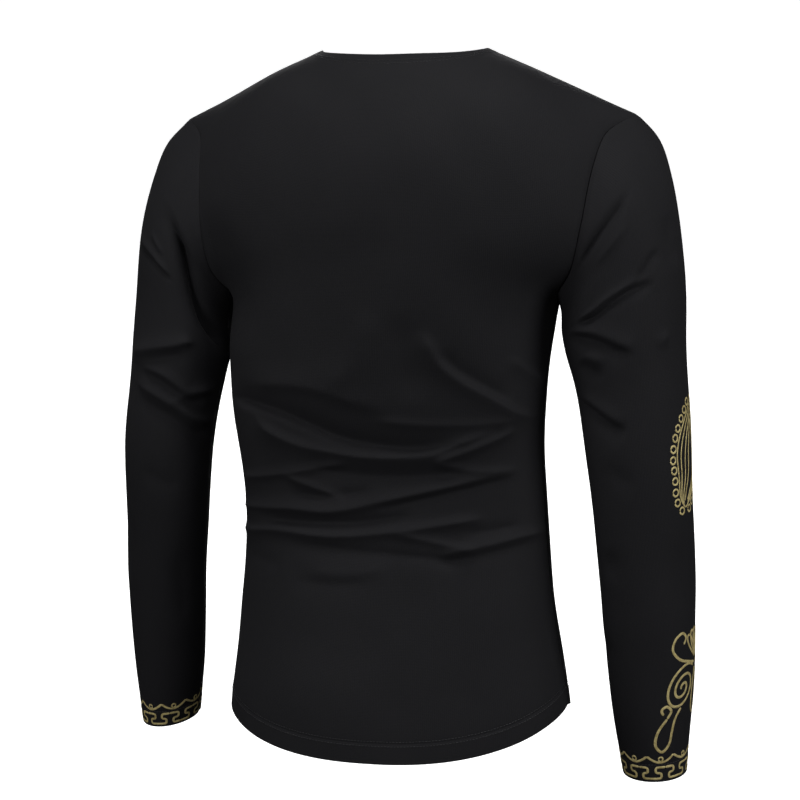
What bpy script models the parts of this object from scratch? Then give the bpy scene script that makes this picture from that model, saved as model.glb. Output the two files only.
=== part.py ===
"""Slim long-sleeved T-shirt in its worn form, without the wearer.

Four cloth walls: front, back and two sleeves, 0.3 mm apart at their seams.
Metres, +Z up. The origin lies midway between the two neck points, where the neckline
meets the shoulder seams. The wearer faces -Y, and the wearer's left is +X.
"""

import math

import bmesh
import bpy
import numpy as np

CLOTH = 0.0015
HEM_CLOTH = 0.0022
HEM_DEPTH = 0.022
SEAM_GAP = 0.0003

NECK_POINT = (0.087, 0.0, 0.0)
BACK_NECK = (0.052, -0.008)
FRONT_NECK = (-0.080, -0.098)
NECK_SHARE = 0.45
NECK_BLEND = 0.24
UPPER_BACK_FLATNESS = 1.25
BACK_NECK_TURN = 45.0
FRONT_NECK_TURN = 38.0

HEM_SIDE = -0.648
HEM_BACK = -0.691
HEM_FRONT = -0.690
HEM_TILT = 0.003
HEM_ROUNDNESS = 1.4

SLEEVE_LENGTH = 0.66
SLEEVE_RADIUS = 0.050
ARMHOLE_REACH = 0.30
ARMHOLE_MIDDLE = (0.200, 0.0, -0.155)

# z, half width, depth of back, depth of front, side seam's y, squareness of back, of front
TORSO = (
    (-0.720, 0.1760, 0.112, 0.118, 0.006, 2.30, 2.10),
    (-0.640, 0.1715, 0.108, 0.116, 0.008, 2.30, 2.10),
    (-0.560, 0.1600, 0.092, 0.118, 0.014, 2.35, 2.10),
    (-0.500, 0.1545, 0.079, 0.120, 0.018, 2.40, 2.10),
    (-0.450, 0.1525, 0.072, 0.122, 0.020, 2.45, 2.10),
    (-0.400, 0.1530, 0.074, 0.124, 0.020, 2.60, 2.10),
    (-0.340, 0.1585, 0.088, 0.124, 0.016, 2.80, 2.10),
    (-0.280, 0.1640, 0.108, 0.120, 0.006, 2.80, 2.10),
    (-0.245, 0.1680, 0.119, 0.116, 0.000, 2.70, 2.10),
    (-0.170, 0.1900, 0.124, 0.110, 0.000, 2.40, 2.10),
)

# angle round the armhole (0 shoulder tip, 90 back, 180 underarm, 270 front), x, y, z
ARMHOLE = (
    (0, 0.2360, -0.010, -0.066),
    (30, 0.2070, 0.030, -0.084),
    (55, 0.1945, 0.055, -0.114),
    (90, 0.1865, 0.072, -0.172),
    (125, 0.1790, 0.061, -0.216),
    (155, 0.1715, 0.033, -0.239),
    (180, 0.1680, 0.000, -0.245),
    (205, 0.1670, -0.030, -0.238),
    (235, 0.1700, -0.056, -0.212),
    (270, 0.1790, -0.066, -0.165),
    (305, 0.1960, -0.057, -0.110),
    (330, 0.2160, -0.038, -0.080),
)

# share of the length, outer side's x and z, inner side's x and z, middle's y, half depth, skew
SLEEVE = (
    (0.00, 0.2360, -0.066, 0.1680, -0.245, 0.003, 0.0700, 0.000),
    (0.07, 0.2580, -0.091, 0.1705, -0.251, 0.004, 0.0680, 0.000),
    (0.14, 0.2700, -0.123, 0.1725, -0.258, 0.006, 0.0660, 0.000),
    (0.21, 0.2785, -0.163, 0.1740, -0.266, 0.008, 0.0635, -0.001),
    (0.28, 0.2835, -0.207, 0.1755, -0.277, 0.009, 0.0605, -0.002),
    (0.35, 0.2860, -0.255, 0.1800, -0.294, 0.010, 0.0575, -0.004),
    (0.43, 0.2875, -0.315, 0.1875, -0.326, 0.010, 0.0540, -0.005),
    (0.55, 0.2920, -0.400, 0.1965, -0.404, 0.009, 0.0495, -0.006),
    (0.68, 0.2950, -0.490, 0.2040, -0.492, 0.003, 0.0455, -0.006),
    (0.80, 0.2960, -0.575, 0.2100, -0.576, -0.007, 0.0420, -0.005),
    (0.90, 0.2930, -0.645, 0.2155, -0.645, -0.017, 0.0380, -0.003),
    (1.00, 0.2870, -0.714, 0.2245, -0.714, -0.028, 0.0325, -0.001),
)

# share of the length, outward, backward, upward, tilt and extra width of the left sleeve
LEFT_POSE = (
    (0.00, 0.000, 0.000, 0.000, 0.000, 0.000),
    (0.28, 0.000, 0.000, 0.000, 0.000, 0.000),
    (0.35, 0.000, 0.000, 0.000, 0.000, 0.004),
    (0.43, -0.001, -0.001, 0.000, 0.000, 0.006),
    (0.55, 0.001, -0.006, 0.001, 0.000, 0.002),
    (0.70, 0.004, -0.018, 0.006, 0.000, 0.000),
    (0.85, 0.009, -0.028, 0.013, 0.002, 0.000),
    (1.00, 0.013, -0.036, 0.020, 0.004, 0.000),
)

# z, lean of the body to its left, left shoulder's pull inward and forward
STANCE = (
    (-0.75, -0.003, 0.000, 0.000),
    (-0.60, -0.002, 0.000, 0.000),
    (-0.43, 0.001, 0.000, 0.000),
    (-0.36, 0.007, 0.001, 0.000),
    (-0.30, 0.009, 0.005, 0.002),
    (-0.22, 0.005, 0.010, 0.006),
    (-0.10, 0.000, 0.010, 0.008),
    (0.00, -0.003, 0.009, 0.006),
)

# height of a fold (below zero a trough), its half width, and its (x, z) points on the panel
BACK_FOLDS = (
    (-0.0040, 0.011, ((0.140, -0.345), (0.095, -0.350), (0.027, -0.373), (-0.040, -0.380), (-0.080, -0.375))),
    (0.0035, 0.010, ((0.120, -0.366), (0.060, -0.388), (0.000, -0.395), (-0.065, -0.388), (-0.135, -0.364))),
    (0.0030, 0.011, ((-0.060, -0.300), (-0.092, -0.322), (-0.150, -0.361))),
    (-0.0030, 0.010, ((0.060, -0.405), (0.015, -0.412), (-0.090, -0.406))),
    (0.0040, 0.010, ((0.138, -0.451), (0.043, -0.451), (-0.037, -0.431), (-0.133, -0.408))),
    (-0.0035, 0.010, ((0.125, -0.463), (0.050, -0.462), (-0.012, -0.455), (-0.080, -0.436))),
    (0.0035, 0.010, ((0.145, -0.476), (0.070, -0.473), (-0.022, -0.468), (-0.098, -0.454))),
    (-0.0030, 0.011, ((0.115, -0.480), (0.030, -0.486), (-0.052, -0.488))),
    (0.0035, 0.010, ((-0.060, -0.489), (-0.113, -0.478), (-0.150, -0.470))),
    (-0.0035, 0.010, ((-0.075, -0.500), (-0.110, -0.494), (-0.140, -0.487))),
)
FRONT_FOLDS = (
    (-0.0035, 0.012, ((0.140, -0.200), (0.105, -0.225), (0.060, -0.240))),
    (-0.0030, 0.012, ((-0.140, -0.195), (-0.095, -0.228), (-0.045, -0.245))),
    (-0.0035, 0.012, ((-0.140, -0.372), (-0.070, -0.392), (0.010, -0.398))),
    (0.0030, 0.012, ((0.135, -0.395), (0.070, -0.408), (-0.010, -0.416))),
    (-0.0035, 0.012, ((0.140, -0.425), (0.065, -0.440), (-0.020, -0.438))),
    (0.0035, 0.012, ((-0.145, -0.446), (-0.060, -0.462), (0.050, -0.460))),
    (-0.0030, 0.012, ((-0.140, -0.480), (-0.070, -0.490), (0.015, -0.487))),
)

# height of a fold, its half width, and its points: metres from the armhole, degrees round the arm
RIGHT_FOLDS = (
    (-0.0040, 0.010, ((0.050, 104), (0.066, 80), (0.078, 56))),
    (-0.0045, 0.010, ((0.190, 126), (0.192, 94), (0.190, 70), (0.196, 48))),
    (-0.0045, 0.010, ((0.210, 140), (0.228, 108), (0.246, 86), (0.252, 66))),
    (0.0040, 0.012, ((0.262, 140), (0.264, 100), (0.268, 70))),
    (-0.0040, 0.010, ((0.300, 142), (0.316, 112), (0.328, 86))),
    (-0.0035, 0.011, ((0.330, 250), (0.345, 290), (0.340, 330))),
    (-0.0030, 0.011, ((0.200, 230), (0.215, 265), (0.208, 300))),
)
LEFT_FOLDS = (
    (-0.0050, 0.012, ((0.075, 86), (0.110, 104), (0.170, 128), (0.225, 160))),
    (0.0030, 0.011, ((0.262, 60), (0.254, 85), (0.244, 115))),
    (-0.0045, 0.010, ((0.280, 35), (0.286, 70), (0.296, 112))),
    (-0.0040, 0.010, ((0.306, 60), (0.316, 88), (0.326, 118))),
    (-0.0035, 0.011, ((0.325, 240), (0.335, 280), (0.330, 320))),
    (-0.0030, 0.011, ((0.205, 235), (0.212, 268), (0.206, 305))),
)
SEAM_CALM = 0.012
FOLD_FADE = 0.25

HEM_ROWS = 7
WAIST_ROWS = 18
CHEST_ROWS = 5
WAIST_SHARES = (0.42, 0.80)
ARMHOLE_ROWS = 6
SHOULDER_ROWS = 8
BACK_COLUMNS = (16, 9)
FRONT_COLUMNS = (10, 6)
SLEEVE_CAP_ROWS = 6
SLEEVE_ROWS = 20
SLEEVE_CAP_SHARE = 0.16

BLACK_JERSEY = (0.0140, 0.0140, 0.0165, 1.0)
JERSEY_ROUGHNESS = 0.85


def unit(vectors):
    return vectors / np.linalg.norm(vectors, axis=-1, keepdims=True)


def soft(share):
    """Ease from 0 to 1 with level ends."""
    share = np.clip(share, 0, 1)
    return share * share * (3 - 2 * share)


def smooth_through(rows, at):
    """Values of a table at the given keys, along a smooth curve through its rows."""
    rows = np.asarray(rows, float)
    keys, values = rows[:, 0], rows[:, 1:]
    at = np.asarray(at, float)
    slopes = np.gradient(values, keys, axis=0)
    low = np.clip(np.searchsorted(keys, at, side="right") - 1, 0, len(keys) - 2)
    step = (keys[low + 1] - keys[low])[..., None]
    t = (at - keys[low])[..., None] / step
    return (
        values[low] * (1 + 2 * t) * (1 - t) ** 2
        + slopes[low] * step * t * (1 - t) ** 2
        + values[low + 1] * t**2 * (3 - 2 * t)
        + slopes[low + 1] * step * t**2 * (t - 1)
    )


def armhole(angle):
    """Points of the left armhole's loop."""
    rows = np.asarray(ARMHOLE, float)
    turn = np.array([360, 0, 0, 0])
    loop = np.concatenate([rows[-2:] - turn, rows, rows[:3] + turn])
    return smooth_through(loop, np.mod(angle, 360))


def torso_sizes(z):
    """Half width, two depths, side seam's y and two squarenesses at each height."""
    sizes = smooth_through(TORSO, np.clip(z, TORSO[0][0], TORSO[-1][0]))
    return np.moveaxis(sizes, -1, 0)


def stance(points):
    """Move points of the even shirt to where the wearer's own posture holds them."""
    height = np.clip(points[..., 2], STANCE[0][0], STANCE[-1][0])
    lean, inward, forward = np.moveaxis(smooth_through(STANCE, height), -1, 0)
    body = 1 - soft((np.abs(points[..., 0]) - 0.165) / 0.06)
    left = np.clip(points[..., 0] / 0.2, 0, 1)
    return points + np.stack([lean * body - inward * left, -forward * left, 0 * height], -1)


def top_edge(across, is_back):
    """Shoulder seams and neckline, from the right shoulder tip to the left one."""
    neck = np.array(NECK_POINT)
    along = np.clip((np.abs(across) - NECK_SHARE) / (1 - NECK_SHARE), 0, 1)
    shoulder = neck + (armhole(0) - neck) * along[..., None]
    turn = np.clip(np.abs(across) / NECK_SHARE, 0, 1) * math.pi / 2
    y, z = BACK_NECK if is_back else FRONT_NECK
    dip = np.cos(turn)
    neckline = np.stack([neck[0] * np.sin(turn), neck[1] + y * dip, neck[2] + z * dip], -1)
    edge = np.where((np.abs(across) >= NECK_SHARE)[..., None], shoulder, neckline)
    edge[..., 0] *= np.sign(across)
    return edge


def section_row(across, z, edge_x, edge_y, depth, side_y, squareness, outward):
    """Part of a rounded cross-section, from one edge of the panel to the other."""
    lean = np.clip((edge_y - side_y) * outward / depth, 0, 1)
    last = np.arccos(lean ** (squareness / 2))
    width = edge_x / np.sin(last) ** (2 / squareness)
    turn = np.abs(across) * last
    x = width * np.sin(turn) ** (2 / squareness) * np.sign(across)
    y = side_y + outward * depth * np.cos(turn) ** (2 / squareness)
    return np.stack([x, y, z], -1)


def panel(is_back, across, body_shares, armhole_shares, shoulder_shares):
    """Grid of points of the front or back: rows from the hem up, columns from right to left."""
    outward = 1 if is_back else -1
    turn_to_top = 90 * outward
    under = armhole(180)
    rows = []
    hem_middle = HEM_BACK if is_back else HEM_FRONT
    curve = np.cos(across * math.pi / 2) ** HEM_ROUNDNESS
    hem = HEM_SIDE + (hem_middle - HEM_SIDE) * curve - HEM_TILT * across
    for share in body_shares:
        z = hem + (under[2] - hem) * share
        width, back, front, side_y, back_square, front_square = torso_sizes(z)
        depth, square = (back, back_square) if is_back else (front, front_square)
        rows.append(section_row(across, z, width, side_y, depth, side_y, square, outward))
    widest = armhole(turn_to_top)[2]
    for share in armhole_shares:
        edge = armhole(180 - share * turn_to_top)
        middle_z = under[2] + (widest - under[2]) * share
        z = edge[2] + (middle_z - edge[2]) * (1 - across**2)
        _, back, front, side_y, back_square, front_square = torso_sizes(middle_z)
        depth, square = (back, back_square) if is_back else (front, front_square)
        rows.append(section_row(across, z, edge[0], edge[1], depth, side_y, square, outward))
    start = rows[-1]
    edge = top_edge(across, is_back)
    reach = NECK_BLEND * (1 - across**2)
    calm = top_edge(across, is_back) / 3
    for shift, weight in ((-1, 1), (-0.5, 2), (0.5, 2), (1, 1)):
        calm = calm + top_edge(across + shift * reach, is_back) * weight / 9
    low = math.radians(BACK_NECK_TURN if is_back else FRONT_NECK_TURN)
    turn = low + (math.pi / 2 - low) * soft(np.abs(across) / (NECK_SHARE + 0.2))
    depth = (start[:, 1] - calm[:, 1]) / (1 - np.cos(turn)) ** UPPER_BACK_FLATNESS
    height = (calm[:, 2] - start[:, 2]) / np.sin(turn)
    for share in shoulder_shares:
        x = start[:, 0] + (calm[:, 0] - start[:, 0]) * share**1.6
        y = start[:, 1] - depth * (1 - np.cos(turn * share)) ** UPPER_BACK_FLATNESS
        z = start[:, 2] + height * np.sin(turn * share)
        row = np.stack([x, y, z], -1) + share**4 * (edge - calm)
        seam = armhole(turn_to_top * (1 - share))
        for column, side in ((0, -1), (-1, 1)):
            miss = seam * (side, 1, 1) - row[column]
            near = np.where(np.sign(across) == side, np.abs(across) ** 5, 0)
            row = row + near[:, None] * miss
        rows.append(row)
    return stance(np.array(rows))


def sleeve_ring(share, is_left):
    """Middle, half-width vector and half-depth vector of the sleeve's ring."""
    outer_x, outer_z, inner_x, inner_z, y, half_depth, skew = smooth_through(SLEEVE, share)
    if is_left:
        out, back, up, tilt, wider = smooth_through(LEFT_POSE, share)
        inner_x = inner_x - wider
    else:
        out, back, up, tilt = 0, 0, 0, 0
    middle = np.array([(outer_x + inner_x) / 2 + out, y + back, (outer_z + inner_z) / 2 + up])
    half_width = np.array([(outer_x - inner_x) / 2, skew, (outer_z - inner_z) / 2 - tilt])
    return middle, half_width, np.array([skew, half_depth, 0])


def sleeve(angles, shares, is_left):
    """Grid of points of a sleeve: rows from the armhole to the cuff, columns round the arm."""
    turn = np.radians(angles)[:, None]
    rows = []
    for share in shares:
        middle, half_width, half_depth = sleeve_ring(share, is_left)
        along = sleeve_ring(min(share + 0.02, 1), is_left)[0] - sleeve_ring(max(share - 0.02, 0), is_left)[0]
        level = -(half_depth @ along) / along[2] * np.clip((share - 0.1) / 0.3, 0, 1)
        rows.append(middle + np.cos(turn) * half_width + np.sin(turn) * (half_depth + (0, 0, level)))
    rows = np.array(rows)
    miss = armhole(angles) - rows[0]
    near = np.clip(1 - np.asarray(shares) / ARMHOLE_REACH, 0, 1) ** 2
    rows = rows + near[:, None, None] * miss
    if not is_left:
        rows = rows * (-1, 1, 1)
    return stance(rows)


def outward_normals(points, sign, is_round):
    """Normals of a grid of points, pointing out of the garment."""
    if is_round:
        across = np.roll(points, -1, 1) - np.roll(points, 1, 1)
    else:
        across = np.gradient(points, axis=1)
    return sign * unit(np.cross(across, np.gradient(points, axis=0)))


def fold_height(places, folds, fade=FOLD_FADE):
    """Sum of the folds at each place, given as two sizes in metres."""
    flat = places.reshape(-1, 2)
    total = np.zeros(len(flat))
    for height, width, line in folds:
        line = np.asarray(line, float)
        keys = np.linspace(0, 1, len(line))
        dense = smooth_through(np.column_stack([keys, line]), np.linspace(0, 1, 25))
        step = np.diff(dense, axis=0)
        away = flat[:, None] - dense[:-1]
        t = np.clip((away * step).sum(-1) / (step * step).sum(-1), 0, 1)
        distance = np.linalg.norm(away - t[..., None] * step, axis=-1)
        nearest = distance.argmin(1)
        pick = np.arange(len(flat))
        along = (nearest + t[pick, nearest]) / len(step)
        ends = soft(np.minimum(along, 1 - along) / fade + 0.1)
        total += height * ends * np.exp(-((distance[pick, nearest] / width) ** 2))
    return total.reshape(places.shape[:-1])


def edge_distance(points):
    """Distance of each grid point from the panel's side and top edges."""
    flat = points.reshape(-1, 3)
    edges = np.concatenate([points[:, 0], points[:, -1], points[-1]])
    near = [np.linalg.norm(edges - point, axis=1).min() for point in flat]
    return np.array(near).reshape(points.shape[:-1])


def folded_panel(is_back, columns):
    neck_columns, shoulder_columns = columns
    middle = np.linspace(-NECK_SHARE, NECK_SHARE, neck_columns + 1)
    side = np.linspace(NECK_SHARE, 1, shoulder_columns + 1)[1:]
    across = np.concatenate([-side[::-1], middle, side])
    low, high = WAIST_SHARES
    body = np.concatenate(
        [
            np.linspace(0, low, HEM_ROWS, endpoint=False),
            np.linspace(low, high, WAIST_ROWS, endpoint=False),
            np.linspace(high, 1, CHEST_ROWS + 1),
        ]
    )
    at_armhole = np.linspace(0, 1, ARMHOLE_ROWS + 1)[1:]
    at_shoulder = np.linspace(0, 1, SHOULDER_ROWS + 1)[1:]
    points = panel(is_back, across, body, at_armhole, at_shoulder)
    sign = -1 if is_back else 1
    calm = soft((edge_distance(points) - 0.002) / SEAM_CALM)
    height = fold_height(points[..., [0, 2]], BACK_FOLDS if is_back else FRONT_FOLDS) * calm
    return points + height[..., None] * outward_normals(points, sign, False)


def folded_sleeve(is_left):
    below = 180 - 90 * np.linspace(0, 1, ARMHOLE_ROWS + 1)
    above = 90 - 90 * np.linspace(0, 1, SHOULDER_ROWS + 1)
    half = np.concatenate([below[:-1], above])[::-1]
    angles = np.concatenate([half[:-1], 360 - half[:0:-1]])
    cap = np.linspace(0, SLEEVE_CAP_SHARE, SLEEVE_CAP_ROWS, endpoint=False)
    shares = np.concatenate([cap, np.linspace(SLEEVE_CAP_SHARE, 1, SLEEVE_ROWS + 1)])
    points = sleeve(angles, shares, is_left)
    height = np.zeros(points.shape[:2])
    length, angle = np.meshgrid(shares * SLEEVE_LENGTH, angles, indexing="ij")
    for fold in LEFT_FOLDS if is_left else RIGHT_FOLDS:
        middle = np.mean([place[1] for place in fold[2]])
        round_arm = np.radians((angle - middle + 180) % 360 - 180) * SLEEVE_RADIUS
        line = [(place[0], math.radians(place[1] - middle) * SLEEVE_RADIUS) for place in fold[2]]
        height += fold_height(np.stack([length, round_arm], -1), [(fold[0], fold[1], line)])
    height *= soft(length / SEAM_CALM / 2)
    sign = -1 if is_left else 1
    points = points + height[..., None] * outward_normals(points, sign, True)
    return points, angles, shares


def armhole_inward(angles, sign):
    """Direction across the armhole seam's edge, towards the middle of its loop."""
    along = unit(armhole(angles + 2) - armhole(angles - 2))
    inward = np.array(ARMHOLE_MIDDLE) - armhole(angles)
    inward = inward - (inward * along).sum(-1, keepdims=True) * along
    return unit(inward) * (sign, 1, 1)


def shared_inward(own, angles, sign):
    """Blend a wall's own direction with the one that both walls share over the shoulder."""
    share = soft(1.5 * np.cos(np.radians(angles)))[..., None]
    return unit(share * armhole_inward(angles, sign) + (1 - share) * own)


def part_from_seam(edge, beside):
    return edge + unit(beside - edge) * SEAM_GAP / 2


def panel_wall(name, is_back, columns):
    outer = folded_panel(is_back, columns)
    sign = -1 if is_back else 1
    inward = -outward_normals(outer, sign, False)
    depth_axis = np.array([0, 1, 0])
    neck_columns, shoulder_columns = columns
    seam_rows = outer.shape[0] - ARMHOLE_ROWS - SHOULDER_ROWS
    for column, side in ((0, -1), (-1, 1)):
        seam = np.gradient(outer[:, column], axis=0)
        inward[:, column] = -side * unit(np.cross(depth_axis, seam))
        below = 180 - 90 * np.linspace(0, 1, ARMHOLE_ROWS + 1)[1:]
        above = 90 - 90 * np.linspace(0, 1, SHOULDER_ROWS + 1)[1:]
        angles = np.concatenate([below, above]) * (1 if is_back else -1)
        own = -outward_normals(outer, sign, False)[seam_rows:, column]
        inward[seam_rows:, column] = shared_inward(own, angles, side)
    top = np.gradient(outer[-1], axis=0)
    on_shoulder = np.ones(outer.shape[1], bool)
    on_shoulder[shoulder_columns + 1 : shoulder_columns + neck_columns] = False
    on_shoulder[[0, -1]] = False
    down = unit(np.cross(top, depth_axis))[on_shoulder]
    inward[-1, on_shoulder] = -down * np.sign(down[:, 2:])
    hem_row = np.linalg.norm(outer - outer[:1], axis=-1)
    thickness = CLOTH + (HEM_CLOTH - CLOTH) * soft(1.5 - hem_row / HEM_DEPTH)
    inner = outer + inward * thickness[..., None]
    skins = []
    for skin in (outer, inner):
        skin = skin.copy()
        skin[-1, on_shoulder] = part_from_seam(skin[-1, on_shoulder], skin[-2, on_shoulder])
        for column, beside in ((0, 1), (-1, -2)):
            skin[:, column] = part_from_seam(skin[:, column], skin[:, beside])
        skins.append(skin)
    return add_wall(name, *skins, is_round=False)


def sleeve_wall(name, is_left):
    outer, angles, shares = folded_sleeve(is_left)
    inward = -outward_normals(outer, -1 if is_left else 1, True)
    inward[0] = shared_inward(inward[0], angles, 1 if is_left else -1)
    to_cuff = np.linalg.norm(outer - outer[-1:], axis=-1)
    thickness = CLOTH + (HEM_CLOTH - CLOTH) * soft(1.5 - to_cuff / HEM_DEPTH)
    inner = outer + inward * thickness[..., None]
    for skin in (outer, inner):
        skin[0] = part_from_seam(skin[0], skin[1])
    return add_wall(name, outer, inner, is_round=True)


def add_wall(name, outer, inner, is_round):
    """Join an outer and an inner skin along their edges into one closed wall."""
    rows, columns = outer.shape[:2]
    index = np.arange(rows * columns).reshape(rows, columns)
    if is_round:
        index = np.column_stack([index, index[:, 0]])
        edges = [index[0], index[-1]]
    else:
        loop = [index[0], index[1:, -1], index[-1, -2::-1], index[-2::-1, 0]]
        edges = [np.concatenate(loop)]
    quads = np.stack([index[:-1, :-1], index[:-1, 1:], index[1:, 1:], index[1:, :-1]], -1)
    quads = quads.reshape(-1, 4)
    count = rows * columns
    faces = [*quads.tolist(), *(quads[:, ::-1] + count).tolist()]
    for edge in edges:
        faces += [(int(a), int(b), int(b) + count, int(a) + count) for a, b in zip(edge, edge[1:])]
    points = np.concatenate([outer.reshape(-1, 3), inner.reshape(-1, 3)])
    mesh = bpy.data.meshes.new(name)
    mesh.from_pydata(points.tolist(), [], faces)
    shape = bmesh.new()
    shape.from_mesh(mesh)
    bmesh.ops.recalc_face_normals(shape, faces=shape.faces)
    shape.to_mesh(mesh)
    shape.free()
    mesh.shade_smooth()
    mesh.set_sharp_from_angle(angle=math.radians(50))
    wall = bpy.data.objects.new(name, mesh)
    wall.data.materials.append(jersey(name))
    bpy.data.collections["long_sleeved_t_shirt"].objects.link(wall)
    return wall


def jersey(name):
    material = bpy.data.materials.new(f"{name}_jersey")
    material.use_nodes = True
    shader = material.node_tree.nodes["Principled BSDF"]
    shader.inputs["Base Color"].default_value = BLACK_JERSEY
    shader.inputs["Roughness"].default_value = JERSEY_ROUGHNESS
    shader.inputs["Metallic"].default_value = 0.0
    return material


def build():
    for thing in list(bpy.data.objects):
        bpy.data.objects.remove(thing)
    collection = bpy.data.collections.new("long_sleeved_t_shirt")
    bpy.context.scene.collection.children.link(collection)
    panel_wall("back", True, BACK_COLUMNS)
    panel_wall("front", False, FRONT_COLUMNS)
    sleeve_wall("sleeve_left", True)
    sleeve_wall("sleeve_right", False)


build()
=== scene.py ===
"""Looks of the slim long-sleeved T-shirt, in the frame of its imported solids.

Metres, +Z up. The wearer faces -Y, and the wearer's left is +X. The origin lies
midway between the two neck points.
"""

import math

import bpy
import numpy as np
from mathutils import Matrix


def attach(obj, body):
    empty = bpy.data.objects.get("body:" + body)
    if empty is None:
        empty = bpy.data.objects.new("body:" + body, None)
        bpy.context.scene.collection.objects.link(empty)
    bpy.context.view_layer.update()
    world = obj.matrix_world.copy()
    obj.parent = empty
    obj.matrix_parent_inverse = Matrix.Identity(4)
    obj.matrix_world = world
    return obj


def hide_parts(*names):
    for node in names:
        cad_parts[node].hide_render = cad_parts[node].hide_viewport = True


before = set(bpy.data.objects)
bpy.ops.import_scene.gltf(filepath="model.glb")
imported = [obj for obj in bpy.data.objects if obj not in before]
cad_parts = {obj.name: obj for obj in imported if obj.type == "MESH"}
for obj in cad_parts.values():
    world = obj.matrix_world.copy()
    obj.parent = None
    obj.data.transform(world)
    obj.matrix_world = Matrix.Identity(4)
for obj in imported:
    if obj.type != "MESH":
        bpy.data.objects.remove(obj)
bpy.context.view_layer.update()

# millimetres in a metre
MM = 1000

CLOTH = 0.0011
HEM_CLOTH = 0.0018
HEM_DEPTH = 0.020
NECK_HEM_DEPTH = 0.012
CUFF_HEM_DEPTH = 0.0185
HEM_LAYER = 0.0003
HEM_STEP = 0.002
SEAM_GAP = 0.00002

NECK_POINT = (0.087, 0.0, 0.0)
BACK_NECK = (0.052, -0.008)
FRONT_NECK = (-0.080, -0.098)
NECK_SHARE = 0.45
NECK_BLEND = 0.24
UPPER_BACK_FLATNESS = 1.25
SHOULDER_TAPER = 1.6
SEAM_PULL = 5
BACK_NECK_TURN = 45.0
FRONT_NECK_TURN = 38.0

HEM_SIDE = -0.648
HEM_BACK = -0.691
HEM_FRONT = -0.690
HEM_TILT = 0.003
HEM_ROUNDNESS = 1.4

SLEEVE_LENGTH = 0.66
SLEEVE_RADIUS = 0.050
ARMHOLE_REACH = 0.30
ARMHOLE_MIDDLE = (0.200, 0.0, -0.155)
RING_STEP = 0.02
RING_LEAN_START = 0.1
RING_LEAN_BLEND = 0.3

# z, half width, depth of back, depth of front, side seam's y, squareness of back
TORSO = (
    (-0.720, 0.1760, 0.112, 0.118, 0.006, 2.30),
    (-0.640, 0.1715, 0.108, 0.116, 0.008, 2.30),
    (-0.560, 0.1600, 0.092, 0.118, 0.014, 2.35),
    (-0.500, 0.1545, 0.079, 0.120, 0.018, 2.40),
    (-0.450, 0.1525, 0.072, 0.122, 0.020, 2.45),
    (-0.400, 0.1530, 0.074, 0.124, 0.020, 2.60),
    (-0.340, 0.1585, 0.088, 0.124, 0.016, 2.80),
    (-0.280, 0.1640, 0.108, 0.120, 0.006, 2.80),
    (-0.245, 0.1680, 0.119, 0.116, 0.000, 2.70),
    (-0.170, 0.1900, 0.124, 0.110, 0.000, 2.40),
)
FRONT_SQUARENESS = 2.10

# angle round the armhole (0 shoulder tip, 90 back, 180 underarm, 270 front), x, y, z
ARMHOLE = (
    (0, 0.2360, -0.010, -0.066),
    (30, 0.2120, 0.029, -0.084),
    (55, 0.2045, 0.053, -0.114),
    (90, 0.1970, 0.071, -0.172),
    (125, 0.1870, 0.061, -0.216),
    (155, 0.1715, 0.033, -0.239),
    (180, 0.1680, 0.000, -0.245),
    (205, 0.1670, -0.030, -0.238),
    (235, 0.1700, -0.056, -0.212),
    (270, 0.1790, -0.066, -0.165),
    (305, 0.1960, -0.057, -0.110),
    (330, 0.2160, -0.038, -0.080),
)

# share of the length, outer side's x and z, inner side's x and z, middle's y, half depth, skew
SLEEVE = (
    (0.00, 0.2360, -0.066, 0.1680, -0.245, 0.003, 0.0700, 0.000),
    (0.07, 0.2580, -0.091, 0.1705, -0.251, 0.004, 0.0680, 0.000),
    (0.14, 0.2700, -0.123, 0.1725, -0.258, 0.006, 0.0660, 0.000),
    (0.21, 0.2785, -0.163, 0.1740, -0.266, 0.008, 0.0635, -0.001),
    (0.28, 0.2835, -0.207, 0.1755, -0.277, 0.009, 0.0605, -0.002),
    (0.35, 0.2860, -0.255, 0.1800, -0.294, 0.010, 0.0575, -0.004),
    (0.43, 0.2875, -0.315, 0.1875, -0.326, 0.010, 0.0540, -0.005),
    (0.55, 0.2920, -0.400, 0.1965, -0.404, 0.009, 0.0495, -0.006),
    (0.68, 0.2950, -0.490, 0.2040, -0.492, 0.003, 0.0455, -0.006),
    (0.80, 0.2960, -0.575, 0.2100, -0.576, -0.007, 0.0420, -0.005),
    (0.90, 0.2930, -0.645, 0.2155, -0.645, -0.017, 0.0380, -0.003),
    (1.00, 0.2870, -0.714, 0.2245, -0.714, -0.028, 0.0325, -0.001),
)

# share of the length, outward, backward, upward, tilt and extra width of the left sleeve
LEFT_POSE = (
    (0.00, 0.000, 0.000, 0.000, 0.000, 0.000),
    (0.28, 0.000, 0.000, 0.000, 0.000, 0.003),
    (0.35, 0.000, 0.000, 0.000, 0.000, 0.0115),
    (0.43, -0.001, -0.001, 0.000, 0.000, 0.011),
    (0.55, 0.001, -0.006, 0.001, 0.000, 0.0035),
    (0.70, 0.004, -0.018, 0.006, 0.000, 0.000),
    (0.85, 0.009, -0.028, 0.013, 0.002, 0.000),
    (1.00, 0.013, -0.036, 0.020, 0.004, 0.000),
)

BODY_EDGE = 0.165
BODY_EDGE_BLEND = 0.06
LEFT_PULL_REACH = 0.2

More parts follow.
